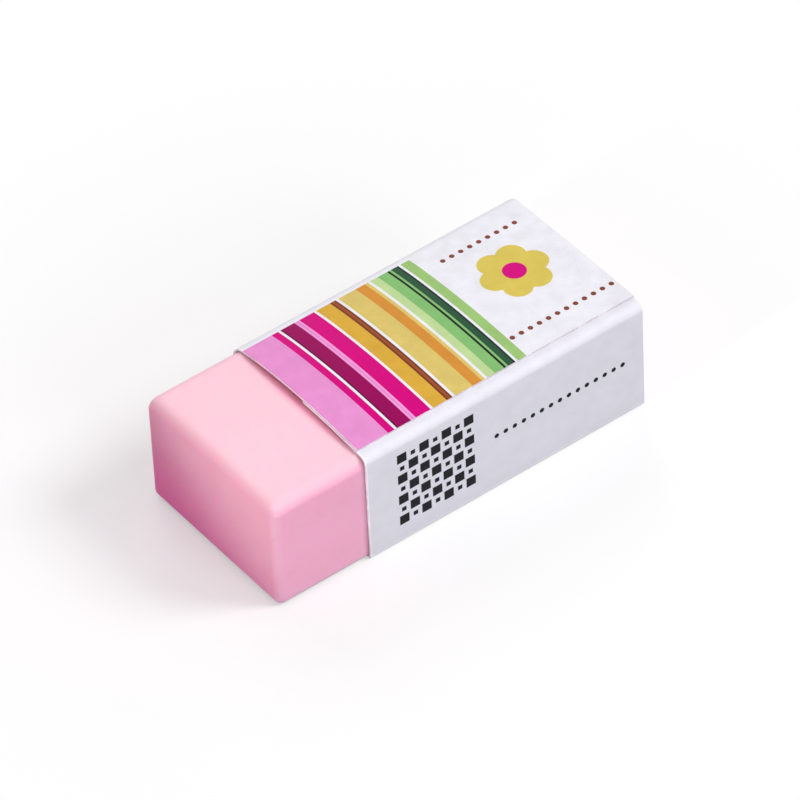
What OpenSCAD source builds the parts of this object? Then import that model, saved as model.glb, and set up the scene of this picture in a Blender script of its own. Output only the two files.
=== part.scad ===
// Rubber eraser: a soft rubber block in a folded card sleeve.
// X runs along the length, with the bare rubber end towards -X, and the seam is near the -Y side.
// The origin is the middle of the base, on the surface that the eraser lies on.

/* [Rubber block] */
// Length of the rubber block
block_len = 39.8; // [32:0.5:60]
// Width of the rubber block
block_w = 18.6; // [16:0.1:30]
// Height of the rubber block
block_h = 11.5; // [8:0.1:20]
// Radius of the block's top edges
block_top_r = 1.2; // [0.6:0.1:2.5]
// Radius of the block's upright edges
block_upright_r = 0.8; // [0.3:0.1:3]
// Radius of the block's bottom edges
block_bottom_r = 0.35; // [0.25:0.05:1]
// Length of rubber that stands out of the sleeve's mouth
block_out = 9.7; // [2:0.1:15]

/* [Card sleeve] */
// Length of the sleeve
sleeve_len = 30.4; // [26:0.1:45]
// Thickness of the card
card_t = 0.2; // [0.15:0.05:0.5]
// Clearance between the rubber and the card
fit_gap = 0.05; // [0.02:0.01:0.3]
// Inside radius of the two bottom creases
crease_r = 0.1; // [0.05:0.05:0.25]
// Radius to which the top panel bows upwards
bow_r = 64; // [50:1:200]
// Distance of the top panel's cut edge from the sleeve's side
seam_inset = 1.2; // [0.8:0.1:3]
// Distance that the top panel is cut back at the mouth
panel_setback = 0.15; // [0.05:0.05:1]
// Width of the glue flap under the top panel
flap_w = 8.2; // [3:0.1:12]

/* [Print on the top panel] */
// Thickness of the ink
ink_t = 0.02; // [0.01:0.01:0.1]
// Distance of the print from the side across from the seam
print_margin = 1.6; // [1.2:0.1:4]
// Distance from the flower's middle to the middle of a petal
petal_ring = 2.1; // [1:0.1:3]
// Diameter of a petal
petal_d = 2.8; // [1:0.1:3]
// Number of petals
petals = 6; // [5:1:9]
// Diameter of the flower's eye
eye_d = 2.2; // [1:0.1:4]
// Distance of the flower's middle from the sleeve's middle line, away from the seam
flower_y = 0.8; // [-2:0.1:2]
// Distance of each dotted line from the sleeve's middle line
line_y = 5.9; // [5:0.1:6.5]
// Length of the dotted line beyond the flower
short_line = 8; // [3:0.5:10]
// Length of the dotted line near the seam
long_line = 11; // [3:0.5:12]
// Diameter of a printed dot
dot_d = 0.5; // [0.2:0.05:0.8]
// Distance between the middles of two dots
dot_pitch = 1; // [0.9:0.1:2]

/* [Print on the side panel] */
// Distance of the check from the sleeve's mouth
check_x = 3.2; // [1:0.1:6]
// Height of the check's lower edge above the base
check_low = 1.95; // [0.5:0.05:3]
// Bare card between the check and the top fold
check_high = 0.1; // [0.05:0.05:2]
// Number of squares along each side of the check
check_n = 7; // [3:2:11]
// Width of a large square, as a share of the distance between squares
large_square = 0.85; // [0.6:0.05:0.9]
// Width of a small square, as a share of the distance between squares
small_square = 0.4; // [0.1:0.05:0.6]
// Length of the dotted line on the side panel
side_line = 14; // [3:0.5:16]

/* [Hidden] */
$fn = 64;

// Segments of the top panel's large bow circle.
bow_fn = 1440;

// Places along X: the bare end, and the sleeve's mouth.
total_len = max(block_len, block_out + sleeve_len);
bare_x = -total_len / 2;
mouth_x = bare_x + block_out;

// The tunnel inside the sleeve, which is the block with its clearance all round.
block_z = card_t + fit_gap;
tunnel_y = block_w / 2 + fit_gap;
tunnel_top = block_z + block_h + fit_gap;
side_y = tunnel_y + card_t;

// Middles of the two top folds, which follow the block's top edges.
fold_r = block_top_r + fit_gap;
fold_y = tunnel_y - fold_r;
fold_z = tunnel_top - fold_r;

// Middles of the two bottom creases.
crease_y = tunnel_y - crease_r;
crease_z = card_t + crease_r;

// The top panel and the glue flap under it are two layers on one bow. The panel runs tangent
// into the fold away from the seam, and the flap runs tangent out of the fold at the seam.
panel_reach = bow_r - card_t - fold_r;
flap_reach = bow_r - 2 * card_t - fold_r;
bow_y = (pow(flap_reach, 2) - pow(panel_reach, 2)) / (4 * fold_y);
bow_z = fold_z - sqrt(pow(panel_reach, 2) - pow(fold_y - bow_y, 2));
bow_middle = [bow_y, bow_z];
crown_top = bow_z + bow_r;

// Angles on the bow, from the fold away from the seam to the fold at the seam.
panel_start = atan2(fold_z - bow_z, fold_y - bow_y);
print_start = acos((side_y - print_margin - bow_y) / bow_r);
panel_end = acos((seam_inset - side_y - bow_y) / bow_r);
flap_end = atan2(fold_z - bow_z, -fold_y - bow_y);
flap_start = flap_end - flap_w / (bow_r - card_t) * 180 / PI;

// Inks.
lilac = [0.91, 0.58, 0.82];
magenta = [0.84, 0, 0.5];
plum = [0.62, 0.02, 0.36];
pink = [0.95, 0.62, 0.85];
ochre = [0.86, 0.68, 0.26];
brown = [0.6, 0.3, 0.17];
khaki = [0.86, 0.77, 0.44];
orange = [0.85, 0.56, 0.24];
pale_green = [0.76, 0.86, 0.61];
mid_green = [0.53, 0.77, 0.46];
dark_green = [0.18, 0.32, 0.23];
leaf_green = [0.62, 0.79, 0.47];
black = [0.13, 0.13, 0.15];
bare_card = [];

// Width and ink of each stripe, from the mouth to the far end.
stripes = [
    [3.2, lilac], [0.75, magenta], [0.25, bare_card],
    [1.5, plum], [0.55, pink], [1.55, magenta], [0.3, bare_card],
    [1.5, ochre], [0.6, brown], [0.25, bare_card],
    [2.05, khaki], [0.9, orange], [0.25, khaki], [0.35, bare_card],
    [0.85, pale_green], [1.05, mid_green], [0.15, black], [0.15, mid_green], [0.8, dark_green],
    [0.2, bare_card], [0.95, leaf_green]
];

// Where a stripe starts: the sum of the widths before it.
function stripe_start(n) = n == 0 ? 0 : stripe_start(n - 1) + stripes[n - 1][0];

// The flower stands in the middle of the card that the stripes leave free.
stripes_end = panel_setback + stripe_start(len(stripes));
flower_x = (stripes_end + sleeve_len) / 2;

// The check fills the side panel's height, and the side's dotted line runs beside it.
check_w = fold_z - check_high - check_low;
check_pitch = check_w / check_n;
side_line_x = (check_x + check_w + sleeve_len) / 2;

// Extrudes a section, drawn with Y to the right and Z upwards, along X.
module along_x(length) {
    rotate([90, 0, 90])
        linear_extrude(length)
            children();
}

// What rounding takes off a corner. The inward vector points from the corner into the material.
module corner_waste(corner, inward, r) {
    translate(corner)
        difference() {
            square(2 * r, center = true);
            translate(r * inward)
                circle(r);
        }
}

// Rectangle on the first axis, centred on the second, with a radius at each end of its height.
module soft_rect(w, h, high_r, low_r) {
    difference() {
        translate([-w / 2, 0])
            square([w, h]);
        for (side = [-1, 1]) {
            corner_waste([side * w / 2, h], [-side, -1], high_r);
            corner_waste([side * w / 2, 0], [-side, 1], low_r);
        }
    }
}

// The block is what its three rounded outlines share: seen from the end, the side and above.
module rubber_block() {
    color("pink")
        translate([bare_x, 0, block_z])
            intersection() {
                along_x(block_len)
                    soft_rect(block_w, block_h, block_top_r, block_bottom_r);
                translate([block_len / 2, block_w / 2, 0])
                    rotate([90, 0, 0])
                        linear_extrude(block_w)
                            soft_rect(block_len, block_h, block_top_r, block_bottom_r);
                rotate(-90)
                    linear_extrude(block_h)
                        soft_rect(block_w, block_len, block_upright_r, block_upright_r);
            }
}

// Layer bent round a middle from one angle to another, with its inner face at radius r.
module bend(middle, r, angle_a, angle_b, thickness = card_t, segments = $fn) {
    wedge = 2 * (r + thickness);
    translate(middle)
        intersection() {
            difference() {
                circle(r + thickness, $fn = segments);
                circle(r, $fn = segments);
            }
            polygon([
                [0, 0],
                wedge * [cos(angle_a), sin(angle_a)],
                wedge * [cos(angle_b), sin(angle_b)]
            ]);
        }
}

// The strip of card from the glue flap, down the seam side, under the block and up the far side.
module wrap_section() {
    bend(bow_middle, bow_r - 2 * card_t, flap_start, flap_end, segments = bow_fn);
    bend([-fold_y, fold_z], fold_r, flap_end, 180);
    translate([-side_y, crease_z])
        square([card_t, fold_z - crease_z]);
    bend([-crease_y, crease_z], crease_r, 180, 270);
    translate([-crease_y, 0])
        square([2 * crease_y, card_t]);
    bend([crease_y, crease_z], crease_r, 270, 360);
    translate([tunnel_y, crease_z])
        square([card_t, fold_z - crease_z]);
    bend([fold_y, fold_z], fold_r, 0, panel_start);
}

// The ink layer over the whole width of the print, as thick as so many coats.
module panel_ink(coats) {
    translate([mouth_x + panel_setback, 0, 0])
        along_x(sleeve_len - panel_setback)
            bend(bow_middle, bow_r, print_start, panel_end, coats * ink_t, bow_fn);
}

// Prints an outline, drawn from above with X from the sleeve's mouth, on the top panel.
module on_panel(coats = 1) {
    intersection() {
        panel_ink(coats);
        translate([mouth_x, 0, 0])
            linear_extrude(2 * crown_top)
                children();
    }
}

// Prints an outline, drawn with X from the sleeve's mouth and Z upwards, on the seam side.
module on_side() {
    translate([mouth_x, -side_y, 0])
        rotate([90, 0, 0])
            linear_extrude(ink_t)
                intersection() {
                    translate([0, crease_z])
                        square([sleeve_len, fold_z - crease_z]);
                    children();
                }
}

module dotted_line(length) {
    steps = floor(length / dot_pitch);
    for (n = [0:steps])
        translate([(n - steps / 2) * dot_pitch, 0])
            circle(d = dot_d);
}

// Large and small squares by turns, like a woven check.
module check() {
    for (column = [0:check_n - 1], row = [0:check_n - 1])
        translate([(column + 0.5) * check_pitch, (row + 0.5) * check_pitch])
            square(check_pitch * ((column + row) % 2 == 0 ? large_square : small_square), center = true);
}

module panel_print() {
    for (n = [0:len(stripes) - 1])
        if (stripes[n][1] != bare_card)
            color(stripes[n][1])
                on_panel()
                    translate([panel_setback + stripe_start(n), -side_y])
                        square([stripes[n][0], 2 * side_y]);
    color(khaki)
        on_panel()
            translate([flower_x, flower_y])
                for (n = [0:petals - 1])
                    rotate(n * 360 / petals)
                        translate([petal_ring, 0])
                            circle(d = petal_d);
    color(magenta)
        on_panel(coats = 2)
            translate([flower_x, flower_y])
                circle(d = eye_d);
    color(brown)
        on_panel() {
            translate([flower_x, line_y])
                dotted_line(short_line);
            translate([flower_x, -line_y])
                dotted_line(long_line);
        }
}

module side_print() {
    color(black)
        on_side() {
            translate([check_x, check_low])
                check();
            translate([side_line_x, check_low + check_w / 2])
                dotted_line(side_line);
        }
}

// One strip of card, wrapped round the block, with the top panel glued over its own flap.
module card_sleeve() {
    color("white") {
        translate([mouth_x, 0, 0])
            along_x(sleeve_len)
                wrap_section();
        translate([mouth_x + panel_setback, 0, 0])
            along_x(sleeve_len - panel_setback)
                bend(bow_middle, bow_r - card_t, panel_start, panel_end, segments = bow_fn);
    }
    panel_print();
    side_print();
}

rubber_block();
card_sleeve();
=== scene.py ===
# %% [markdown]
# # A rubber eraser in its card sleeve
# The real thing is two pieces: a block of soft pink rubber, and one strip of coated white card
# that is folded round it and glued. The scene dresses both, and each new piece is built to the
# size of the solid that it stands for. The frame holds those solids, and it is loaded first.

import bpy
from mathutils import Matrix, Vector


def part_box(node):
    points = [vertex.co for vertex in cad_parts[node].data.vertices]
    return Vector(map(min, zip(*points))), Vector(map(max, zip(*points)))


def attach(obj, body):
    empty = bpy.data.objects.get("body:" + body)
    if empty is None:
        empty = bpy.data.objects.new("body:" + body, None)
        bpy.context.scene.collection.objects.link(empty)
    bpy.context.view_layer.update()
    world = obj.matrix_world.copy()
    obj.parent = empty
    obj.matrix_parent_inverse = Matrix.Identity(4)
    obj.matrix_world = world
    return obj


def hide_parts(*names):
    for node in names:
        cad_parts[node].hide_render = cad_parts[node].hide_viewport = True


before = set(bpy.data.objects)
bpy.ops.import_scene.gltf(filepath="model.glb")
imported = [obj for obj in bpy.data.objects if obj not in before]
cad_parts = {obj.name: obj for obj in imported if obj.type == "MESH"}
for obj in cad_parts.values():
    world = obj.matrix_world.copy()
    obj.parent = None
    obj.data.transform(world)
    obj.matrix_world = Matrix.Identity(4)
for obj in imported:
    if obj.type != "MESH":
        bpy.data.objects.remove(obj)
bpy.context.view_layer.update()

# %% [markdown] ## Units and sizes Blender works in metres and the eraser is measured in
# millimetres, so MM turns one into the other. Only what a box can't tell, such as the
# thickness of the card, is written here as a real size.

# %% Read the sizes from the frame
import math

import bmesh
import bpy
from mathutils import Matrix, Vector

MM = 0.001

block_low, block_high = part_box("rubber_block")
sleeve_low, sleeve_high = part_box("card_sleeve")

block_size = block_high - block_low
block_middle = (block_low + block_high) / 2
mouth_x = sleeve_low.x
sleeve_length = sleeve_high.x - sleeve_low.x
side_y = sleeve_high.y

CARD_T = 0.2 * MM
FIT_GAP = 0.05 * MM
INK_T = 0.02 * MM

print("rubber", [round(length / MM, 2) for length in block_size], "mm")
print(f"sleeve {sleeve_length / MM:.2f} mm long and {2 * side_y / MM:.2f} mm wide")

# %% [markdown]
# ## Helpers for modelling by hand
# A Blender operator acts on whatever is selected, and loading the frame leaves its solids
# selected. These helpers clear the selection, turn the new primitive into a piece, and pick
# vertices or edges by their place, as a hand would pick them with the mouse.

# %% Selection helpers
def deselect_everything():
    for chosen in list(bpy.context.selected_objects):
        chosen.select_set(False)


def select_only(piece):
    deselect_everything()
    piece.select_set(True)
    bpy.context.view_layer.objects.active = piece


def start_piece(name):
    """Names the primitive that was just added and moves its place and size into its mesh."""
    piece = bpy.context.active_object
    piece.name = piece.data.name = name
    bpy.ops.object.transform_apply(location=True, rotation=True, scale=True)
    return piece


def pick(piece, kind, test):
    """In edit mode, selects only the vertices or edges whose ends all pass the test."""
    bpy.ops.mesh.select_mode(type=kind)
    mesh = bmesh.from_edit_mesh(piece.data)
    for part in (*mesh.verts, *mesh.edges, *mesh.faces):
        part.select = False
    found = 0
    for part in mesh.verts if kind == "VERT" else mesh.edges:
        ends = [part] if kind == "VERT" else part.verts
        if all(test(end.co) for end in ends):
            part.select_set(True)
            found += 1
    bmesh.update_edit_mesh(piece.data)
    return found


def near(value, place, reach=0.002 * MM):
    return abs(value - place) < reach


def triangle_count(piece):
    return sum(len(face.vertices) - 2 for face in piece.data.polygons)


print("selected after loading:", len(bpy.context.selected_objects), "objects")

# %% [markdown]
# ## The rubber block
# The block is cut from moulded rubber. Its top edges are well rounded, the far one most, its
# upright edges less, and its bottom edges are nearly sharp. It could be lofted, but a cube with
# a weighted bevel keeps every face flat and lets each edge have its own radius: the bevel
# modifier is as wide as the largest radius, and an edge's weight is its share of it.

# %% Round the block's edges
BLOCK_TOP_R = 1.2 * MM
BLOCK_FAR_R = 1.5 * MM
BLOCK_UPRIGHT_R = 0.8 * MM
BLOCK_BOTTOM_R = 0.35 * MM
BEVEL_STEPS = 12

deselect_everything()
bpy.ops.mesh.primitive_cube_add(size=1, location=block_middle, scale=block_size)
rubber = start_piece("rubber_skin")


def edge_radius(edge):
    start, end = (rubber.data.vertices[index].co for index in edge.vertices)
    if not near(start.z, end.z):
        return BLOCK_UPRIGHT_R
    if near(start.z, block_low.z):
        return BLOCK_BOTTOM_R
    on_far_side = near(start.y, block_high.y) and near(end.y, block_high.y)
    return BLOCK_FAR_R if on_far_side else BLOCK_TOP_R


weights = rubber.data.attributes.new("bevel_weight_edge", "FLOAT", "EDGE")
for edge in rubber.data.edges:
    weights.data[edge.index].value = edge_radius(edge) / BLOCK_FAR_R

rounding = rubber.modifiers.new("rounding", "BEVEL")
rounding.width = BLOCK_FAR_R
rounding.segments = BEVEL_STEPS
rounding.limit_method = "WEIGHT"
bpy.ops.object.modifier_apply(modifier=rounding.name)
print("rubber after rounding:", triangle_count(rubber), "triangles")

# %% [markdown]
# The mould leaves a faint raised line down the middle of each upright edge. The bevel has an
# even number of steps, so a row of vertices already runs there. It is picked by its place and
# pushed out by a few hundredths of a millimetre, which is still inside the block's corner.

# %% Raise the mould line on the upright edges
MOULD_LINE = 0.03 * MM

upright_x = block_size.x / 2 - BLOCK_UPRIGHT_R
upright_y = block_size.y / 2 - BLOCK_UPRIGHT_R


def out_of_corner(place):
    """How far a place lies out of the middle of its upright corner's arc, along X and Y."""
    from_middle = place - block_middle
    return abs(from_middle.x) - upright_x, abs(from_middle.y) - upright_y


def raise_mould_line(end, side):
    def on_line(place):
        out_x, out_y = out_of_corner(place)
        this_corner = end * (place.x - block_middle.x) > 0 and side * place.y > 0
        return this_corner and near(out_x, out_y) and out_x > BLOCK_UPRIGHT_R / 2

    moved = pick(rubber, "VERT", on_line)
    step = MOULD_LINE * math.sqrt(0.5)
    bpy.ops.transform.translate(value=(end * step, side * step, 0))
    return moved


bpy.ops.object.mode_set(mode="EDIT")
moved_counts = [raise_mould_line(end, side) for end in (-1, 1) for side in (-1, 1)]
bpy.ops.object.mode_set(mode="OBJECT")
print("vertices moved on each mould line:", moved_counts)

# %% [markdown]
# The top isn't quite flat: where the sleeve doesn't press on it, it swells by a third of a
# millimetre along its middle. To be able to bend, the block is first cut into strips with
# bisect, along and across. The outermost cuts lie just inside the rounded edges, so that they
# don't split the rows of the bevel.

# %% Cut the block into strips
SWELL_FADE = 12 * MM
CUTS_ALONG, CUTS_ACROSS = 14, 18
OFF_THE_BEVEL = 0.999

top_reach = block_size.y / 2 - BLOCK_FAR_R
first_cut = block_low.x + BLOCK_TOP_R
cut_length = mouth_x + SWELL_FADE - first_cut


def cut_across(place, direction):
    bpy.ops.mesh.select_all(action="SELECT")
    bpy.ops.mesh.bisect(plane_co=place, plane_no=direction)


bpy.ops.object.mode_set(mode="EDIT")
for number in range(CUTS_ACROSS + 1):
    y = top_reach * (2 * number / CUTS_ACROSS - 1)
    cut_across((0, y * OFF_THE_BEVEL, 0), (0, 1, 0))
for number in range(CUTS_ALONG + 1):
    cut_across((first_cut + number * cut_length / CUTS_ALONG, 0, 0), (1, 0, 0))
bpy.ops.object.mode_set(mode="OBJECT")
print("rubber after cutting:", triangle_count(rubber), "triangles")

# %% [markdown]
# No operator bends a face along two directions at once, so the vertices are lifted in code: the
# upper half of the block stretches, by a share that fades out to both sides and into the
# sleeve.

# %% Swell the top
SWELL = 0.34 * MM
SWELL_POWER = 1.5


def ramp(value):
    """0 below 0, 1 above 1, and smooth between them."""
    value = min(1, max(0, value))
    return value * value * (3 - 2 * value)


for vertex in rubber.data.vertices:
    place = vertex.co
    across = max(0, 1 - (place.y / top_reach) ** 2) ** SWELL_POWER
    along = 1 - ramp((place.x - mouth_x) / SWELL_FADE)
    stretch = max(0, (place.z - block_middle.z) / (block_high.z - block_middle.z))
    place.z += SWELL * across * along * stretch
rubber.data.update()
print(f"top swells to {max(vertex.co.z for vertex in rubber.data.vertices) / MM:.2f} mm")

# %% [markdown]
# Smooth shading on a big flat face would bend towards the rounded edges. A weighted normal
# modifier lets the flat faces win, so they shade flat and only the edges shade round.

# %% Shade the block
select_only(rubber)
bpy.ops.object.shade_smooth()
flat_faces = rubber.modifiers.new("flat_faces", "WEIGHTED_NORMAL")
bpy.ops.object.modifier_apply(modifier=flat_faces.name)
print("faces shaded smooth:", sum(face.use_smooth for face in rubber.data.polygons))

# %% [markdown]
# ## The card sleeve
# The sleeve is one strip of card. From the glue flap under the top panel it runs down the seam
# side, under the block, up the far side and back over the top, where the printed panel is
# glued over the flap. It is modelled in the order in which a hand would fold it: the base is a
# grid at its real size, and from its two long edges the strip is spun round each crease and
# extruded up each side. All radii are those of the outer face. The far fold follows the
# rounding of the block, and the fold beside the seam is sharper, because it was creased.

# %% Work out the section of the strip
CREASE_R = 0.3 * MM
BOW_R = 64 * MM
SEAM_FOLD_R = 0.8 * MM
SEAM_INSET = 1.2 * MM
FLAP_W = 8.2 * MM

wrap_t = FIT_GAP + CARD_T
crease_y = side_y - CREASE_R

# The panel and the flap are bent round one middle. It is the one at which folds that follow
# the block's top edges would end at fold_top on both sides.
fold_top = block_high.z + wrap_t
corner_r = BLOCK_TOP_R + wrap_t
corner_y = side_y - corner_r
flap_r = BOW_R - CARD_T
bow_y = ((flap_r - corner_r) ** 2 - (BOW_R - corner_r) ** 2) / (4 * corner_y)
bow_z = fold_top - corner_r - math.sqrt((BOW_R - corner_r) ** 2 - (corner_y - bow_y) ** 2)


def fold_middle(side, fold_r, layer_r):
    """Middle of a top fold that touches its side and, from inside, the bowed layer it enters."""
    y = side * (side_y - fold_r)
    return y, bow_z + math.sqrt((layer_r - fold_r) ** 2 - (y - bow_y) ** 2)


far_fold = fold_middle(1, BLOCK_FAR_R + wrap_t, BOW_R)
seam_fold = fold_middle(-1, SEAM_FOLD_R, flap_r)

panel_start = math.atan2(far_fold[1] - bow_z, far_fold[0] - bow_y)
panel_end = math.acos((SEAM_INSET - side_y - bow_y) / BOW_R)
flap_end = math.atan2(seam_fold[1] - bow_z, seam_fold[0] - bow_y)
flap_start = flap_end - FLAP_W / flap_r
print(f"folds {fold_top / MM:.2f} mm high, crown {(bow_z + BOW_R) / MM:.2f} mm high")

# %% Lay out the base of the strip
STATIONS, BASE_STEPS = 60, 8

deselect_everything()
bpy.ops.mesh.primitive_grid_add(
    x_subdivisions=STATIONS,
    y_subdivisions=BASE_STEPS,
    size=1,
    location=(mouth_x + sleeve_length / 2, 0, 0),
)
bpy.ops.transform.resize(value=(sleeve_length, 2 * crease_y, 1))
sleeve = start_piece("sleeve_card")
print("base of the strip:", len(sleeve.data.polygons), "faces")

# %% Fold the strip up round the block
CREASE_STEPS, WALL_STEPS, FOLD_STEPS, FLAP_STEPS, PANEL_STEPS = 6, 6, 12, 14, 48


def spin_row(angle, middle_y, middle_z, steps):
    """Bends the selected row of edges on round a middle, and leaves the new row selected."""
    bpy.ops.mesh.spin(steps=steps, angle=angle, center=(0, middle_y, middle_z), axis=(-1, 0, 0))


def fold_side(side, middle_y, middle_z, fold_angle, bow_angle, bow_steps):
    """Folds one side up: crease, wall, top fold and bowed layer. side is -1 at the seam."""
    picked = pick(sleeve, "EDGE", lambda place: near(place.y, side * crease_y))
    spin_row(side * math.pi / 2, side * crease_y, CREASE_R, CREASE_STEPS)
    step = (0, 0, (middle_z - CREASE_R) / WALL_STEPS)
    for _ in range(WALL_STEPS):
        bpy.ops.mesh.extrude_region_move(TRANSFORM_OT_translate={"value": step})
    spin_row(side * fold_angle, middle_y, middle_z, FOLD_STEPS)
    spin_row(side * bow_angle, bow_y, bow_z, bow_steps)
    print("folded up from", picked, "edges at side", side)


bpy.ops.object.mode_set(mode="EDIT")
fold_side(-1, *seam_fold, math.pi - flap_end, flap_end - flap_start, FLAP_STEPS)
fold_side(1, *far_fold, panel_start, panel_end - panel_start, PANEL_STEPS)
bpy.ops.mesh.select_all(action="SELECT")
bpy.ops.mesh.normals_make_consistent(inside=False)
bpy.ops.object.mode_set(mode="OBJECT")

base_face = min(sleeve.data.polygons, key=lambda face: face.center.z)
print(len(sleeve.data.polygons), "faces in the sheet, base normal z", round(base_face.normal.z, 2))

# %% [markdown]
# The parts of the sheet are told apart while their radii are still exact: the panel and the
# flap lie on two circles round the same middle, and the rest lies below them.

# %% Name the parts of the sheet
PANEL, SIDE, PLAIN, BOARD, CUT_EDGE = range(5)

flap_edge_y = bow_y + flap_r * math.cos(flap_start)
panel_start_y = bow_y + BOW_R * math.cos(panel_start)


def on_bow(place, radius):
    from_middle = (place.yz - Vector((bow_y, bow_z))).length
    return place.z > fold_top - corner_r / 2 and near(from_middle, radius, CARD_T / 4)


def sheet_part(face):
    if on_bow(face.center, BOW_R) and face.center.y < panel_start_y:
        return PANEL
    if near(face.center.y, -side_y):
        return SIDE
    return PLAIN


def in_panel(place):
    return on_bow(place, BOW_R) and place.y <= panel_start_y


def in_flap(place):
    return on_bow(place, flap_r) and place.y < flap_edge_y + CARD_T


parts = [sheet_part(face) for face in sleeve.data.polygons]
on_panel = [in_panel(vertex.co) for vertex in sleeve.data.vertices]
on_flap = [in_flap(vertex.co) for vertex in sleeve.data.vertices]
print("faces of the panel:", parts.count(PANEL), "and of the seam side:", parts.count(SIDE))

# %% [markdown]
# The top panel is bowed at the mouth, where the block no longer holds it down and a dark gap
# shows under it, and it lies flat at the far end. An operator would flatten both layers into
# each other, so the easing is done in code: each vertex of the two layers keeps a share of its
# bow, and at the far end the panel lies flat on its flap. The panel is also cut back a little
# at the mouth, so that the flap's edge peeks out under it.

# %% Ease the bow along the sleeve
LIP_LENGTH = 3 * MM
LIP_SHARE = 0.35
FLAT_FROM = 15 * MM
PANEL_SETBACK = 0.05 * MM
PANEL_EASE = SETBACK_FADE = 2 * MM


def bow_share(x):
    """Share of the full bow that is left at x."""
    along = x - mouth_x
    lip = LIP_SHARE * math.exp(-along / LIP_LENGTH)
    return (1 - LIP_SHARE) * (1 - ramp((along - FLAT_FROM) / (sleeve_length - FLAT_FROM))) + lip


def lap_rise(y):
    """Height that the flat panel gains from its fold to the edge of the flap that it lies on."""
    run = (panel_start_y - y) / (panel_start_y - flap_edge_y)
    return (CARD_T + INK_T) * min(1, max(0, run))


for vertex, panel, flap in zip(sleeve.data.vertices, on_panel, on_flap):
    place, share = vertex.co, bow_share(vertex.co.x)
    if panel:
        inwards = ramp((panel_start_y - place.y) / PANEL_EASE)
        rise = (1 - share) * lap_rise(place.y) + share * inwards * INK_T
        place.z = fold_top + share * (place.z - fold_top) + rise
        place.x += PANEL_SETBACK * inwards * (1 - ramp((place.x - mouth_x) / SETBACK_FADE))
    elif flap and place.z > fold_top:
        place.z = fold_top + share * (place.z - fold_top)
sleeve.data.update()
print("bow left along the sleeve:",
      [round(bow_share(mouth_x + part * sleeve_length), 2) for part in (0, 0.25, 0.5, 0.75, 1)])

# %% [markdown]
# The sheet now gets the card's thickness. Solidify adds an inner wall and a rim, in that order
# after the sheet's own faces, so inner board and cut edge can be told by their number.

# %% Give the card its thickness
SHARP_ANGLE = math.radians(35)

select_only(sleeve)
thickness = sleeve.modifiers.new("thickness", "SOLIDIFY")
thickness.thickness = CARD_T
thickness.offset = -1
thickness.use_even_offset = True
bpy.ops.object.modifier_apply(modifier=thickness.name)

rim_faces = len(sleeve.data.polygons) - 2 * len(parts)
parts = parts + [BOARD] * len(parts) + [CUT_EDGE] * rim_faces
bpy.ops.object.shade_smooth_by_angle(angle=SHARP_ANGLE)
print("card:", triangle_count(sleeve), "triangles, with", rim_faces, "faces of cut edge")

# %% [markdown]
# ## Colours
# Colours are written as they look on a screen, from 0 to 255, and one function turns them into
# the linear values that Blender's nodes take.

# %% Name the colours
def screen(red, green, blue):
    """A screen colour as a linear one."""
    def linear(level):
        level = level / 255
        return level / 12.92 if level <= 0.04045 else ((level + 0.055) / 1.055) ** 2.4

    return (linear(red), linear(green), linear(blue), 1)


CARD_WHITE = screen(230, 229, 236)
# The next white is the card at its palest: for its fibres, and for wear and painted highlight at
# crease and mouth.
CARD_PALEST = screen(250, 250, 253)
BOARD_GREY = screen(222, 218, 218)
EDGE_GREY = screen(214, 206, 216)
RUBBER_TOP = screen(252, 200, 214)
RUBBER_SIDE = screen(255, 181, 207)
# The next colour is wear and painted highlight, on the upright edges and their mould lines.
RUBBER_WORN_SHEEN = screen(248, 205, 225)
# The next colour is painted shade: the deep pink shadow under the sleeve's edge at the mouth.
RUBBER_MOUTH_SHADE = screen(255, 158, 188)

INKS = {
    "lilac": screen(224, 142, 201),
    "magenta": screen(206, 0, 122),
    "plum": screen(147, 3, 86),
    "plum_rim": screen(84, 6, 62),
    "pink": screen(236, 152, 211),
    "pink_line": screen(220, 131, 197),
    "ochre": screen(211, 165, 60),
    "brown": screen(152, 78, 43),
    "brown_rim": screen(118, 56, 34),
    "khaki": screen(212, 189, 106),
    "orange": screen(208, 140, 57),
    "pale_green": screen(185, 209, 148),
    "mid_green": screen(128, 184, 111),
    "dark_green": screen(45, 82, 58),
    "green_rim": screen(24, 40, 32),
    "leaf_green": screen(151, 190, 114),
    "black": screen(30, 30, 34),
    "mustard": screen(212, 191, 88),
    "dot_brown": screen(128, 66, 52),
}
BARE = None
print(len(INKS), "inks")

# %% [markdown]
# ## Building finishes in code
# Each finish is a small node graph. This helper keeps the code short: it adds a node, and an
# input that is given as another node's output is linked, while any other value is set. What
# more than one finish needs is built once as a node group with named sockets.

# %% Node helpers
class NodeTree:
    """A node tree with short calls that add and link its nodes."""

    def __init__(self, tree):
        self.tree = tree

    def feed(self, socket, value):
        if isinstance(value, bpy.types.NodeSocket):
            self.tree.links.new(value, socket)
        else:
            socket.default_value = value

    def node(self, kind, inputs=None, **settings):
        made = self.tree.nodes.new(kind)
        for name, value in settings.items():
            setattr(made, name, value)
        for key, value in (inputs or {}).items():
            self.feed(made.inputs[key], value)
        return made

    def math(self, operation, *values):
        inputs = dict(enumerate(values))
        return self.node("ShaderNodeMath", inputs, operation=operation).outputs[0]

    def vector_math(self, operation, inputs):
        return self.node("ShaderNodeVectorMath", inputs, operation=operation).outputs

    def subtract(self, vector, other):
        return self.vector_math("SUBTRACT", {0: vector, 1: other})["Vector"]

    def length(self, vector):
        return self.vector_math("LENGTH", {0: vector})["Value"]

    def split(self, vector):
        return self.node("ShaderNodeSeparateXYZ", {0: vector}).outputs

    def join(self, x, y):
        return self.node("ShaderNodeCombineXYZ", {"X": x, "Y": y}).outputs[0]


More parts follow.
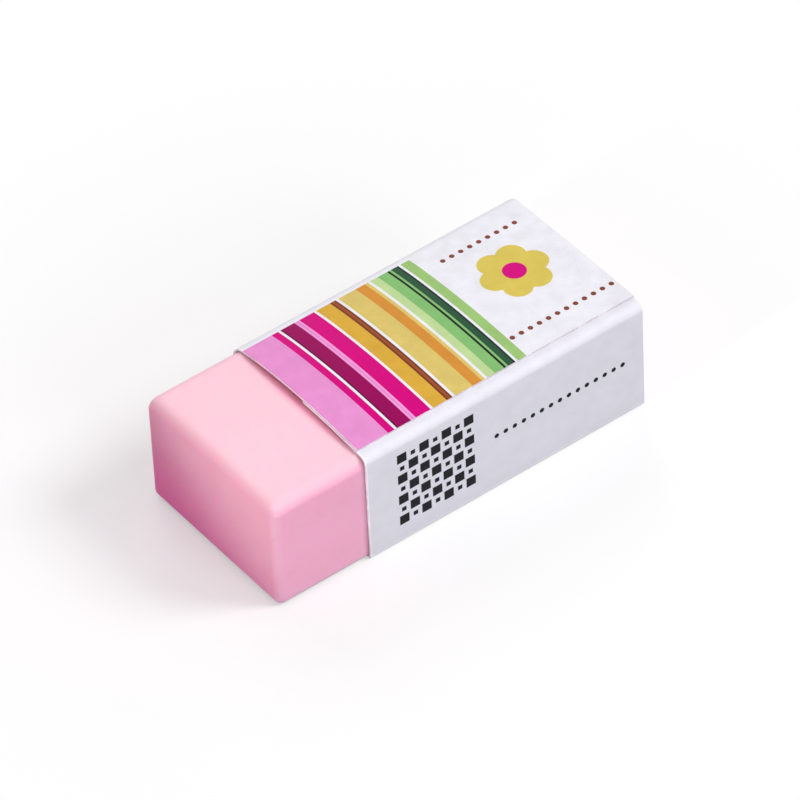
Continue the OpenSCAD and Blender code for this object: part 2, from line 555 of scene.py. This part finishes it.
print("node helpers:", [name for name in vars(NodeTree) if not name.startswith("_")])

# %% [markdown]
# The other half of the helpers paints. Blender gives the place on a piece in metres, and it is
# turned into millimetres here, so that every finish is written in the sizes of the real thing.

# %% Painting helpers
class Finish(NodeTree):
    """Short calls for places, masks, colours, grain and bumps."""

    def mix(self, mask, under, over):
        """Colour under where the mask is 0, and colour over where it is 1."""
        made = self.node("ShaderNodeMix", {0: mask}, data_type="RGBA")
        for socket, value in zip([s for s in made.inputs if s.type == "RGBA"], (under, over)):
            self.feed(socket, value)
        return next(s for s in made.outputs if s.type == "RGBA")

    def soft_step(self, value, low, high):
        """0 below low, 1 above high, and smooth between. It falls where low is the larger."""
        inputs = {"Value": value, "From Min": low, "From Max": high}
        made = self.node("ShaderNodeMapRange", inputs, interpolation_type="SMOOTHSTEP")
        return made.outputs["Result"]

    def noise(self, place, scale, detail, roughness=0.5):
        inputs = {"Vector": place, "Scale": scale, "Detail": detail, "Roughness": roughness}
        return self.node("ShaderNodeTexNoise", inputs).outputs[0]

    def place(self):
        """Place on the piece, in millimetres."""
        in_metres = self.node("ShaderNodeTexCoord").outputs["Object"]
        inputs = {"Vector": in_metres, "Scale": [1 / MM] * 3}
        return self.node("ShaderNodeMapping", inputs).outputs["Vector"]

    def group(self, tree, inputs):
        return self.node("ShaderNodeGroup", inputs, node_tree=tree).outputs

    def bump(self, height, distance):
        inputs = {"Height": height, "Distance": distance, "Strength": 1.0}
        return self.node("ShaderNodeBump", inputs).outputs["Normal"]


print("painting helpers:", [name for name in vars(Finish) if not name.startswith("_")])

# %% Start a node group
NUMBER, VECTOR = "NodeSocketFloat", "NodeSocketVector"


def start_group(name, inputs, outputs):
    """A node group with named sockets. inputs and outputs give each name's type."""
    tree = bpy.data.node_groups.new(name, "ShaderNodeTree")
    for direction, sockets in (("INPUT", inputs), ("OUTPUT", outputs)):
        for socket, kind in sockets.items():
            tree.interface.new_socket(socket, in_out=direction, socket_type=kind)
    given = tree.nodes.new("NodeGroupInput").outputs
    result = tree.nodes.new("NodeGroupOutput").inputs
    return tree, Finish(tree), given, result


print("a group's sockets are of type", NUMBER, "or", VECTOR)

# %% [markdown]
# ## Printed shapes
# The print is fields of ink with crisp edges. An image could hold it, but masks worked out
# from the place on the card stay sharp at any distance. Four shapes make the whole print: the
# front of a stripe, a disc, a dotted line and a check. Each is a group that gives 1 inside.

# %% The front edge of a stripe
INK_SOFT = 0.04


def inside(finish, distance):
    """1 where a distance to an outline, in millimetres, is below 0."""
    return finish.soft_step(distance, INK_SOFT / 2, -INK_SOFT / 2)


def make_stripe_front():
    tree, finish, given, result = start_group(
        "stripe_front", {"Along": NUMBER, "Front": NUMBER}, {"Mask": NUMBER}
    )
    before = finish.math("SUBTRACT", given["Front"], given["Along"])
    finish.feed(result["Mask"], inside(finish, before))
    return tree


stripe_front = make_stripe_front()
print("nodes in stripe_front:", len(stripe_front.nodes))

# %% A printed disc
def make_printed_disc():
    tree, finish, given, result = start_group(
        "printed_disc",
        {"Place": VECTOR, "Middle": VECTOR, "Diameter": NUMBER},
        {"Mask": NUMBER},
    )
    distance = finish.length(finish.subtract(given["Place"], given["Middle"]))
    outside = finish.math("MULTIPLY_ADD", given["Diameter"], -0.5, distance)
    finish.feed(result["Mask"], inside(finish, outside))
    return tree


printed_disc = make_printed_disc()
print("nodes in printed_disc:", len(printed_disc.nodes))

# %% A dotted line
def make_dotted_line():
    tree, finish, given, result = start_group(
        "dotted_line",
        {"Place": VECTOR, "First": VECTOR, "Steps": NUMBER, "Pitch": NUMBER, "Diameter": NUMBER},
        {"Mask": NUMBER},
    )
    along, across, _ = finish.split(finish.subtract(given["Place"], given["First"]))
    step = finish.math("ROUND", finish.math("DIVIDE", along, given["Pitch"]))
    step = finish.math("MINIMUM", finish.math("MAXIMUM", step, 0.0), given["Steps"])
    from_dot = finish.math("SUBTRACT", along, finish.math("MULTIPLY", step, given["Pitch"]))
    distance = finish.length(finish.join(from_dot, across))
    outside = finish.math("MULTIPLY_ADD", given["Diameter"], -0.5, distance)
    finish.feed(result["Mask"], inside(finish, outside))
    return tree


dotted_line = make_dotted_line()
print("nodes in dotted_line:", len(dotted_line.nodes))

# %% A check of large and small squares
def make_woven_check():
    tree, finish, given, result = start_group(
        "woven_check",
        {"Place": VECTOR, "Corner": VECTOR, "Pitch": NUMBER, "Count": NUMBER,
         "Large": NUMBER, "Small": NUMBER},
        {"Mask": NUMBER},
    )
    cells, reaches = [], []
    for value in finish.split(finish.subtract(given["Place"], given["Corner"]))[:2]:
        share = finish.math("DIVIDE", value, given["Pitch"])
        cell = finish.math("FLOOR", share)
        cell = finish.math("MAXIMUM", cell, 0.0)
        cell = finish.math("MINIMUM", cell, finish.math("SUBTRACT", given["Count"], 1.0))
        from_middle = finish.math("SUBTRACT", finish.math("SUBTRACT", share, cell), 0.5)
        cells.append(cell)
        reaches.append(finish.math("ABSOLUTE", from_middle))
    odd = finish.math("PINGPONG", finish.math("ADD", *cells), 1.0)
    gain = finish.math("SUBTRACT", given["Small"], given["Large"])
    width = finish.math("MULTIPLY_ADD", odd, gain, given["Large"])
    outside = finish.math("MULTIPLY_ADD", width, -0.5, finish.math("MAXIMUM", *reaches))
    finish.feed(result["Mask"], inside(finish, finish.math("MULTIPLY", outside, given["Pitch"])))
    return tree


woven_check = make_woven_check()
print("printed shapes:", [tree.name for tree in bpy.data.node_groups])

# %% [markdown]
# ## The grain of card and rubber
# Coated card is almost smooth, but its fibres show as a fine mottle that the light catches.
# Moulded rubber has a dull, finely pitted skin. Both are noise at the real scale, in two sizes.
# Each grain group gives a height for the bump and a shade for the colour and the roughness.

# %% Build the grain groups
def make_grain(name, fine, broad, broad_share):
    """fine and broad are noise scales, as bumps per millimetre."""
    tree, finish, given, result = start_group(
        name, {"Place": VECTOR}, {"Height": NUMBER, "Shade": NUMBER}
    )
    small = finish.noise(given["Place"], fine, detail=3.0, roughness=0.6)
    large = finish.noise(given["Place"], broad, detail=1.0)
    finish.feed(result["Height"], finish.math("MULTIPLY_ADD", large, broad_share, small))
    centred = finish.math("SUBTRACT", finish.math("ADD", small, large), 1.0)
    finish.feed(result["Shade"], centred)
    return tree


card_grain = make_grain("card_grain", fine=7.0, broad=0.7, broad_share=0.8)
rubber_grain = make_grain("rubber_grain", fine=5.0, broad=0.3, broad_share=2.5)
print("grain groups:", card_grain.name, "and", rubber_grain.name)

# %% [markdown]
# ## What every finish shares
# Each material is one Principled shader. Its colour, its roughness and its bump follow the
# grain, each by its own amount: more mottle for raw card, less for the coat.

# %% Start a finish
GRAIN_ROUGHNESS = 0.2


def start_finish(name, grain, **constants):
    """A material with one Principled shader, whose constants are set on its own sockets."""
    material = bpy.data.materials.new(name)
    material.use_nodes = True
    material.node_tree.nodes.clear()
    finish = Finish(material.node_tree)
    shader = finish.node("ShaderNodeBsdfPrincipled")
    finish.node("ShaderNodeOutputMaterial", {"Surface": shader.outputs["BSDF"]})
    for socket, value in constants.items():
        shader.inputs[socket.replace("_", " ")].default_value = value
    place = finish.place()
    surface = finish.group(grain, {"Place": place})
    return material, finish, shader, place, surface


def finish_surface(finish, shader, surface, colour, mottle, roughness, bump):
    """Colour, roughness and bump, each moved a little by the surface's own grain."""
    lightness = finish.math("MULTIPLY_ADD", surface["Shade"], mottle, 1.0)
    mottled = finish.vector_math("SCALE", {0: colour, "Scale": lightness})["Vector"]
    finish.feed(shader.inputs["Base Color"], mottled)
    rough = finish.math("MULTIPLY_ADD", surface["Shade"], GRAIN_ROUGHNESS, roughness)
    finish.feed(shader.inputs["Roughness"], rough)
    finish.feed(shader.inputs["Normal"], finish.bump(surface["Height"], bump))


print("the grain moves the roughness by up to", GRAIN_ROUGHNESS)

# %% [markdown]
# ## The rubber
# Soft vinyl rubber lets light in a little way, so its shadows turn warm: that is the job of
# subsurface scattering, with red going deepest. The top is a paler pink and the sides a deeper
# one, picked by which way each face points. Along the mouth the top is painted deeper pink: that
# is painted shade, the pink shadow under the sleeve's bowed edge, widest in the middle. Further
# in it fades to a weaker share of that pink, on the covered part. It is read from the place on
# the block, so it stays with the block as it slides.

# %% Painted shade where the sleeve's edge meets the top
SHADE_FRINGE = 1.1 * MM
SHADE_FADE = 6 * MM
SHADE_LOSS = 0.62
FRINGE_SOFT, COVER_FROM = 0.1, 0.2


def mouth_shade_mask(finish, x, y, top_share):
    """1 where the shade of the sleeve's edge is painted on the top, and less further in and on the
    sides.
    """
    mouth = (mouth_x - block_middle.x) / MM
    side_share = finish.math("DIVIDE", y, block_size.y / 2 / MM)
    middle_share = finish.math("SUBTRACT", 1.0, finish.math("MULTIPLY", side_share, side_share))
    fringe = finish.math("MULTIPLY_ADD", middle_share, SHADE_FRINGE / MM, x)
    fringe_shade = finish.soft_step(fringe, mouth - FRINGE_SOFT, mouth + SHADE_FRINGE / MM)
    covered = finish.soft_step(x, mouth + COVER_FROM, mouth + SHADE_FADE / MM)
    covered = finish.math("MAXIMUM", covered, finish.math("SUBTRACT", 1.0, top_share))
    return finish.math("MULTIPLY", fringe_shade, finish.math("MULTIPLY_ADD", covered, -SHADE_LOSS, 1.0))


print(f"the fringe reaches {SHADE_FRINGE / MM} mm out of the mouth")

# %% [markdown]
# The raised mould lines and a band on both sides of them are painted pale: partly rubbed wear,
# partly a painted highlight where the rounded upright edges catch the light. How far a place is
# from the line follows from the two distances that out_of_corner measured on the mesh.

# %% Where the edges have rubbed, and their painted highlight
LINE_EDGES = (0.12, 0.02)
SCUFF_SHEEN_EDGES, SCUFF_SHEEN_SHARE = (1.0, 0.1), 0.45
NICK_SCALE, NICK_EDGES = 1.6, (0.35, 0.6)
RUBBED_SHEEN_SHARE = 0.7


def rubbed_sheen_mask(finish, place, x, y):
    """The nicked mould line on each upright edge and the band beside it: wear and painted
    highlight.
    """
    out_x = finish.math("SUBTRACT", finish.math("ABSOLUTE", x), upright_x / MM)
    out_y = finish.math("SUBTRACT", finish.math("ABSOLUTE", y), upright_y / MM)
    off_line = finish.math("ABSOLUTE", finish.math("SUBTRACT", out_x, out_y))
    in_corner = finish.math("GREATER_THAN", finish.math("MINIMUM", out_x, out_y), 0.0)
    nicks = finish.soft_step(finish.noise(place, NICK_SCALE, detail=2.0), *NICK_EDGES)
    line = finish.math("MULTIPLY", finish.soft_step(off_line, *LINE_EDGES), nicks)
    scuff_sheen = finish.math("MULTIPLY", finish.soft_step(off_line, *SCUFF_SHEEN_EDGES), SCUFF_SHEEN_SHARE)
    rubbed_sheen = finish.math("MULTIPLY", finish.math("MAXIMUM", line, scuff_sheen), in_corner)
    return finish.math("MULTIPLY", rubbed_sheen, RUBBED_SHEEN_SHARE)


print(f"the scuff is {2 * SCUFF_SHEEN_EDGES[0]} mm wide")

# %% Make the rubber
SCATTER_DEPTH = 1.2 * MM
TOP_FACING = (0.1, 0.95)
SIDE_MOTTLE, TOP_MOTTLE = 0.12, 0.04


def make_rubber():
    material, finish, shader, place, surface = start_finish(
        "pink_rubber", rubber_grain, Subsurface_Weight=0.4, Subsurface_Scale=SCATTER_DEPTH,
        Subsurface_Radius=(1.0, 0.25, 0.4), Specular_IOR_Level=0.15,
    )
    # The top is a paler pink and the sides a deeper one, by which way each face points.
    facing = finish.split(finish.node("ShaderNodeTexCoord").outputs["Normal"])["Z"]
    top_share = finish.soft_step(facing, *TOP_FACING)
    colour = finish.mix(top_share, RUBBER_SIDE, RUBBER_TOP)

    from_middle = finish.subtract(place, [value / MM for value in block_middle])
    x, y, _ = finish.split(from_middle)
    # Painted shade: a deeper pink along the mouth, under the sleeve's edge.
    colour = finish.mix(mouth_shade_mask(finish, x, y, top_share), colour, RUBBER_MOUTH_SHADE)
    # Wear and painted highlight: the pale mould lines and the band over the upright edges.
    colour = finish.mix(rubbed_sheen_mask(finish, place, x, y), colour, RUBBER_WORN_SHEEN)
    mottle = finish.math("MULTIPLY_ADD", top_share, TOP_MOTTLE - SIDE_MOTTLE, SIDE_MOTTLE)
    finish_surface(finish, shader, surface, colour, mottle, roughness=0.75, bump=0.004 * MM)
    return material


pink_rubber = make_rubber()
print("nodes in pink_rubber:", len(pink_rubber.node_tree.nodes))

# %% [markdown]
# ## The printed panel
# The top panel carries the stripes. Each has its own width, and a stripe starts where the one
# before it ends. All their fronts lean a little and curve near the far fold. Dark inks are
# printed with a darker rim. A stripe is painted over those before it, from its front onwards,
# so one group makes them all. The first starts early, so that it fills the leaning end.

# %% List the stripes
PRINT_FAR_Y = 8.35
PRINT_SEAM_Y = -8.35
LEAN_OF_FRONTS = 0.3
CURVE_OF_FRONTS = 0.4

# Ink and width in millimetres, from the mouth onwards.
STRIPES = [
    ("lilac", 3.03), ("magenta", 0.7), (BARE, 0.25),
    ("plum_rim", 0.14), ("plum", 1.38), ("pink", 0.2), ("pink_line", 0.14), ("pink", 0.2),
    ("magenta", 1.61), (BARE, 0.25),
    ("ochre", 1.5), ("brown_rim", 0.2), ("brown", 0.25), ("brown_rim", 0.18), (BARE, 0.27),
    ("khaki", 1.92), ("orange", 1.01), ("khaki", 0.34), (BARE, 0.27),
    ("pale_green", 0.83), ("mid_green", 1.02), ("black", 0.22), ("mid_green", 0.22),
    ("dark_green", 0.62), ("green_rim", 0.17), (BARE, 0.25), ("leaf_green", 0.96), (BARE, 0),
]
print("stripes are", round(sum(width for _, width in STRIPES), 2), "mm wide in all")

# %% Print the stripes
def print_stripes(finish, along, across):
    print_width = PRINT_FAR_Y - PRINT_SEAM_Y
    share = finish.math("MULTIPLY_ADD", across, -1 / print_width, PRINT_FAR_Y / print_width)
    lean = finish.math("POWER", finish.math("MAXIMUM", share, 0.0), CURVE_OF_FRONTS)
    along = finish.math("MULTIPLY_ADD", lean, -LEAN_OF_FRONTS, along)
    colour, place = CARD_WHITE, PANEL_SETBACK / MM - LEAN_OF_FRONTS
    for ink, width in STRIPES:
        front = finish.group(stripe_front, {"Along": along, "Front": place})["Mask"]
        colour = finish.mix(front, colour, INKS.get(ink, CARD_WHITE))
        place = max(place, PANEL_SETBACK / MM) + width
    margin = inside(finish, finish.math("SUBTRACT", PRINT_FAR_Y, across))
    return finish.mix(margin, colour, CARD_WHITE)


print("bare gaps between the stripes:", [ink for ink, _ in STRIPES].count(BARE) - 1)

# %% [markdown]
# Beyond the stripes a flower stands between two dotted lines. Its petals are six discs on a
# ring, and the largest of their masks joins them into one shape.

# %% Print the flower and the dots
FLOWER = (24.35, 0.8, 0)
PETALS, PETAL_RING, PETAL_D, EYE_D = 6, 2.1, 2.8, 2.2
DOT_D, DOT_PITCH = 0.5, 1.0


def petal_middle(number):
    turn = 2 * math.pi * number / PETALS
    x = FLOWER[0] + PETAL_RING * math.cos(turn)
    y = FLOWER[1] + PETAL_RING * math.sin(turn)
    return x, y, 0


def print_flower(finish, spot, colour):
    petals = 0.0
    for number in range(PETALS):
        inputs = {"Place": spot, "Middle": petal_middle(number), "Diameter": PETAL_D}
        petal = finish.group(printed_disc, inputs)["Mask"]
        petals = finish.math("MAXIMUM", petals, petal)
    colour = finish.mix(petals, colour, INKS["mustard"])
    eye = finish.group(printed_disc, {"Place": spot, "Middle": FLOWER, "Diameter": EYE_D})
    return finish.mix(eye["Mask"], colour, INKS["magenta"])


def print_dots(finish, spot, colour, first, length, ink):
    inputs = {
        "Place": spot, "First": first, "Steps": length / DOT_PITCH,
        "Pitch": DOT_PITCH, "Diameter": DOT_D,
    }
    return finish.mix(finish.group(dotted_line, inputs)["Mask"], colour, INKS[ink])


print(f"the flower is {2 * PETAL_RING + PETAL_D:.1f} mm wide")

# %% [markdown]
# The panel's finish puts the print together. The inks are dull, so the shader's specular level
# is low.

# %% Make the printed panel
LINE_Y, SHORT_LINE, LONG_LINE = 5.9, 8.0, 11.0


def make_printed_panel():
    material, finish, shader, place, surface = start_finish(
        "printed_panel", card_grain, Specular_IOR_Level=0.04
    )
    from_mouth = finish.subtract(place, (mouth_x / MM, 0, 0))
    along, across, _ = finish.split(from_mouth)
    spot = finish.join(along, across)
    colour = print_stripes(finish, along, across)
    colour = print_flower(finish, spot, colour)
    for y, length in ((LINE_Y, SHORT_LINE), (-LINE_Y, LONG_LINE)):
        first = (FLOWER[0] - length / 2, y, 0)
        colour = print_dots(finish, spot, colour, first, length, "dot_brown")
    finish_surface(finish, shader, surface, colour, mottle=0.2, roughness=0.5, bump=0.002 * MM)
    return material


printed_panel = make_printed_panel()
print("nodes in printed_panel:", len(printed_panel.node_tree.nodes))

# %% [markdown]
# ## The printed side
# The seam side carries a black check and a dotted line, seen along X and upwards. Where the
# coat bends or is cut it is painted whiter, along the bottom crease and at the mouth: partly
# wear, partly a painted highlight where crease and edge catch the light.

# %% Wear and painted highlight of the coat
CREASE_WEAR_HIGHLIGHT = 0.25
MOUTH_WEAR_HIGHLIGHT = (0.2, 0.05)


def make_coat_wear_highlight():
    tree, finish, given, result = start_group(
        "coat_wear_highlight", {"Place": VECTOR, "Crease": NUMBER, "Mouth": NUMBER}, {"Mask": NUMBER}
    )
    along, _, height = finish.split(given["Place"])
    from_crease = finish.math("SUBTRACT", height, given["Crease"])
    from_mouth = finish.math("SUBTRACT", along, given["Mouth"])
    crease = finish.soft_step(from_crease, CREASE_WEAR_HIGHLIGHT, -CREASE_R / MM / 2)
    mouth = finish.soft_step(from_mouth, *MOUTH_WEAR_HIGHLIGHT)
    finish.feed(result["Mask"], finish.math("MAXIMUM", crease, mouth))
    return tree


coat_wear_highlight = make_coat_wear_highlight()


def wear_and_highlight_white(finish, place, colour):
    """Paints the coat whiter along the bottom crease and at the mouth: wear and painted highlight.
    """
    inputs = {"Place": place, "Crease": CREASE_R / MM, "Mouth": mouth_x / MM}
    return finish.mix(finish.group(coat_wear_highlight, inputs)["Mask"], colour, CARD_PALEST)


print("nodes in coat_wear_highlight:", len(coat_wear_highlight.nodes))

# %% Print the side
CHECK_CORNER = (3.2, 1.95, 0)
CHECK_WIDTH, CHECK_COUNT, LARGE_SQUARE, SMALL_SQUARE = 8.5, 7, 0.85, 0.4
SIDE_LINE_X, SIDE_LINE = 21.05, 14.0
COAT_SPECULAR = 0.06
COAT_SURFACE = {"mottle": 0.1, "roughness": 0.42, "bump": 0.002 * MM}


def make_printed_side():
    material, finish, shader, place, surface = start_finish(
        "printed_side", card_grain, Specular_IOR_Level=COAT_SPECULAR
    )
    from_mouth = finish.subtract(place, (mouth_x / MM, 0, 0))
    along, _, height = finish.split(from_mouth)
    spot = finish.join(along, height)
    inputs = {
        "Place": spot, "Corner": CHECK_CORNER, "Pitch": CHECK_WIDTH / CHECK_COUNT,
        "Count": CHECK_COUNT, "Large": LARGE_SQUARE, "Small": SMALL_SQUARE,
    }
    check = finish.group(woven_check, inputs)["Mask"]
    colour = finish.mix(check, CARD_WHITE, INKS["black"])
    first = (SIDE_LINE_X - SIDE_LINE / 2, CHECK_CORNER[1] + CHECK_WIDTH / 2, 0)
    colour = print_dots(finish, spot, colour, first, SIDE_LINE, "black")
    # Wear and painted highlight along the bottom crease and at the mouth.
    colour = wear_and_highlight_white(finish, place, colour)
    finish_surface(finish, shader, surface, colour, **COAT_SURFACE)
    return material


printed_side = make_printed_side()
print("nodes in printed_side:", len(printed_side.node_tree.nodes))

# %% [markdown]
# ## Plain coat, inner board and cut edge
# The rest of the outer face is the same white coat with the same wear and painted highlight.
# Inside, the board is uncoated and greyer, and the cut edge shows its fibres.

# %% Make the other card finishes
def make_plain_coat():
    material, finish, shader, place, surface = start_finish(
        "plain_coat", card_grain, Specular_IOR_Level=COAT_SPECULAR
    )
    # Wear and painted highlight along the bottom crease and at the mouth.
    colour = wear_and_highlight_white(finish, place, CARD_WHITE)
    finish_surface(finish, shader, surface, colour, **COAT_SURFACE)
    return material


def make_raw_card(name, tone, mottle):
    material, finish, shader, place, surface = start_finish(
        name, card_grain, Specular_IOR_Level=0.1
    )
    colour = finish.mix(surface["Shade"], tone, CARD_PALEST)
    finish_surface(finish, shader, surface, colour, mottle=mottle, roughness=0.8, bump=0.006 * MM)
    return material


plain_coat = make_plain_coat()
inner_board = make_raw_card("inner_board", BOARD_GREY, mottle=0.15)
cut_edge = make_raw_card("cut_edge", EDGE_GREY, mottle=0.35)
print("other card finishes:", [made.name for made in (plain_coat, inner_board, cut_edge)])

# %% Give each surface its finish
rubber.data.materials.append(pink_rubber)
for finish_made in (printed_panel, printed_side, plain_coat, inner_board, cut_edge):
    sleeve.data.materials.append(finish_made)
sleeve.data.polygons.foreach_set("material_index", parts)
sleeve.data.update()
print("finishes:", [material.name for material in (*rubber.data.materials, *sleeve.data.materials)])

# %% [markdown]
# ## Tie the pieces to the frame
# The rubber slides in the sleeve, so each piece rides on the body of the solid that it stands
# for.

# %% Ride and replace
for piece, body, node, slot in (
    (rubber, "rubber", "rubber_block", "rubber"),
    (sleeve, "sleeve", "card_sleeve", "card"),
):
    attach(piece, body)
    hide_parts(node)
    print(piece.name, "rides on", body, "and stands for", node)

# %% [markdown]
# ## The floor and the background
# The eraser stands on a plain white floor that keeps its soft shadow. Close to the eraser the
# floor is lit as any surface, and further out it turns into plain white, so that floor and
# background meet without a line. The light that it throws back is that of a mid grey table.

# %% Lay the floor
FLOOR_R = 3000 * MM
FLOOR_STEPS = 96
FLOOR_DROP = 0.02 * MM

deselect_everything()
bpy.ops.mesh.primitive_circle_add(
    vertices=FLOOR_STEPS, radius=FLOOR_R, fill_type="NGON", location=(0, 0, -FLOOR_DROP)
)
floor = start_piece("floor")
print("floor is", [round(length, 2) for length in floor.dimensions], "m")

# %% Make the floor's surface
FLOOR_WHITE = screen(250, 250, 250)
TABLE_GREY = screen(108, 108, 110)
SHADOW_SHARE = 0.55
PLAIN_FROM, PLAIN_AT = 22 * MM, 62 * MM


def seen_directly(finish):
    """1 for rays that show the background: from the camera, or mirrored or let through."""
    rays = finish.node("ShaderNodeLightPath").outputs
    mirrored = finish.math("MAXIMUM", rays["Is Glossy Ray"], rays["Is Transmission Ray"])
    return finish.math("MAXIMUM", rays["Is Camera Ray"], mirrored)


def make_floor():
    material = bpy.data.materials.new("floor_white")
    material.use_nodes = True
    material.node_tree.nodes.clear()
    finish = Finish(material.node_tree)
    seen = seen_directly(finish)
    lit = finish.node("ShaderNodeBsdfDiffuse", {"Color": finish.mix(seen, TABLE_GREY, FLOOR_WHITE)})
    plain = finish.node("ShaderNodeEmission", {"Color": (1, 1, 1, 1), "Strength": 1.0})
    distance = finish.length(finish.node("ShaderNodeTexCoord").outputs["Object"])
    far = finish.soft_step(distance, PLAIN_FROM, PLAIN_AT)
    paleness = finish.math("MULTIPLY_ADD", far, SHADOW_SHARE, 1 - SHADOW_SHARE)
    inputs = {0: finish.math("MULTIPLY", paleness, seen), 1: lit.outputs[0], 2: plain.outputs[0]}
    shader = finish.node("ShaderNodeMixShader", inputs)
    finish.node("ShaderNodeOutputMaterial", {"Surface": shader.outputs[0]})
    return material


floor.data.materials.append(make_floor())
print(f"floor turns plain white from {PLAIN_FROM / MM:.0f} to {PLAIN_AT / MM:.0f} mm")

# %% [markdown]
# The world gives a weak even light. Where it is seen directly it is plain white, at strength 1.

# %% Light the world
WORLD_LEVEL = 0.27

world = bpy.data.worlds.new("pale_room")
bpy.context.scene.world = world
world.use_nodes = True
world.node_tree.nodes.clear()
sky = Finish(world.node_tree)
ambient = sky.math("MULTIPLY_ADD", seen_directly(sky), 1 - WORLD_LEVEL, WORLD_LEVEL)
background = sky.node("ShaderNodeBackground", {"Color": (1, 1, 1, 1), "Strength": ambient})
sky.node("ShaderNodeOutputWorld", {"Surface": background.outputs[0]})
print("world light is at", WORLD_LEVEL, "of white")

# %% [markdown]
# ## Lamps
# A large soft key light comes from the camera's right. A sun lamp with a wide angle gives it
# the same strength all over the eraser. Weaker ones light the top from behind, fill the seam
# side, one of them faintly blue, and reach the far side, which the camera doesn't see. The bare
# end of the rubber faces left, where two soft spots reach it: a warm one from above, whose rim
# fades out towards the lower corner, and a pink one that stands for the glow which the table
# gives back there. A lamp's level is what it makes of a white surface that faces it, where 1
# is white.

# %% Lamp helpers
SPOT_SOFTNESS = 3 * MM


def hang(name, light, colour, direction):
    """Adds a lamp that shines from a direction, given as a vector towards the lamp."""
    light.color = colour
    lamp = bpy.data.objects.new(name, light)
    bpy.context.scene.collection.objects.link(lamp)
    lamp.rotation_euler = Vector(direction).to_track_quat("Z", "Y").to_euler()
    return lamp


def add_sun(name, direction, level, angle, colour=(1, 1, 1)):
    light = bpy.data.lights.new(name, "SUN")
    light.energy = math.pi * level
    light.angle = math.radians(angle)
    hang(name, light, colour, direction)


def add_spot(name, place, target, level, pool_r, blend, colour):
    """A spot lamp whose pool of light has the radius pool_r at its target."""
    place, target = Vector(place) * MM, Vector(target) * MM
    reach = (place - target).length
    light = bpy.data.lights.new(name, "SPOT")
    light.energy = level * (2 * math.pi * reach) ** 2
    light.spot_size = 2 * math.atan(pool_r * MM / reach)
    light.spot_blend = blend
    light.shadow_soft_size = SPOT_SOFTNESS
    hang(name, light, colour, place - target).location = place


print(f"a spot's bulb is {2 * SPOT_SOFTNESS / MM:.0f} mm wide")

# %% Hang the lamps
add_sun("key_light", (0.55, -0.42, 0.62), level=0.64, angle=25)
add_sun("back_light", (0.20, 0.75, 0.60), level=0.26, angle=40)
add_sun("far_light", (0.55, 0.83, 0.08), level=0.34, angle=40)
add_sun("side_light", (0.10, -0.93, 0.35), level=0.28, angle=30)
add_sun("side_fill", (0.1, -1.0, 0.15), level=0.07, angle=30, colour=(0.3, 0.35, 1.0))
add_spot(
    "end_light", (-270, -34, 60), (-20, -28.7, 56.6),
    level=0.68, pool_r=65.5, blend=0.35, colour=(1.0, 0.9, 0.89),
)
add_spot(
    "end_glow", (-270, 25, 25), (-20, 27, -60),
    level=0.27, pool_r=77.9, blend=0.27, colour=(1.0, 0.05, 0.6),
)
print("lamps:", [light.name for light in bpy.data.lights])

# %% [markdown]
# ## The camera
# The view is from the left and above, with a long lens, and the picture leans by three
# degrees. The camera is placed by the point that it looks at, two angles and a distance. The
# view transform is Standard, so that a colour shows as it is written.

# %% Place the camera
LOOK_AT = Vector((0.103, -0.436, 6.0)) * MM
AZIMUTH, ELEVATION, LEAN = (math.radians(angle) for angle in (-35.549, 43.576, -2.934))
DISTANCE = 646.36 * MM
LENS_MM, SENSOR_MM = 333.29, 36
NEAREST = 10 * MM

camera_data = bpy.data.cameras.new("camera")
camera_data.lens = LENS_MM
camera_data.sensor_width = SENSOR_MM
camera_data.clip_start = NEAREST
camera = bpy.data.objects.new("camera", camera_data)
bpy.context.scene.collection.objects.link(camera)
bpy.context.scene.camera = camera

back = Vector((
    math.sin(AZIMUTH) * math.cos(ELEVATION),
    -math.cos(AZIMUTH) * math.cos(ELEVATION),
    math.sin(ELEVATION),
))
upright = back.to_track_quat("Z", "Y").to_matrix()
camera.location = LOOK_AT + DISTANCE * back
camera.rotation_euler = (upright @ Matrix.Rotation(LEAN, 3, "Z")).to_euler()
bpy.context.scene.view_settings.view_transform = "Standard"
print("camera at", [round(value / MM, 1) for value in camera.location], "mm")
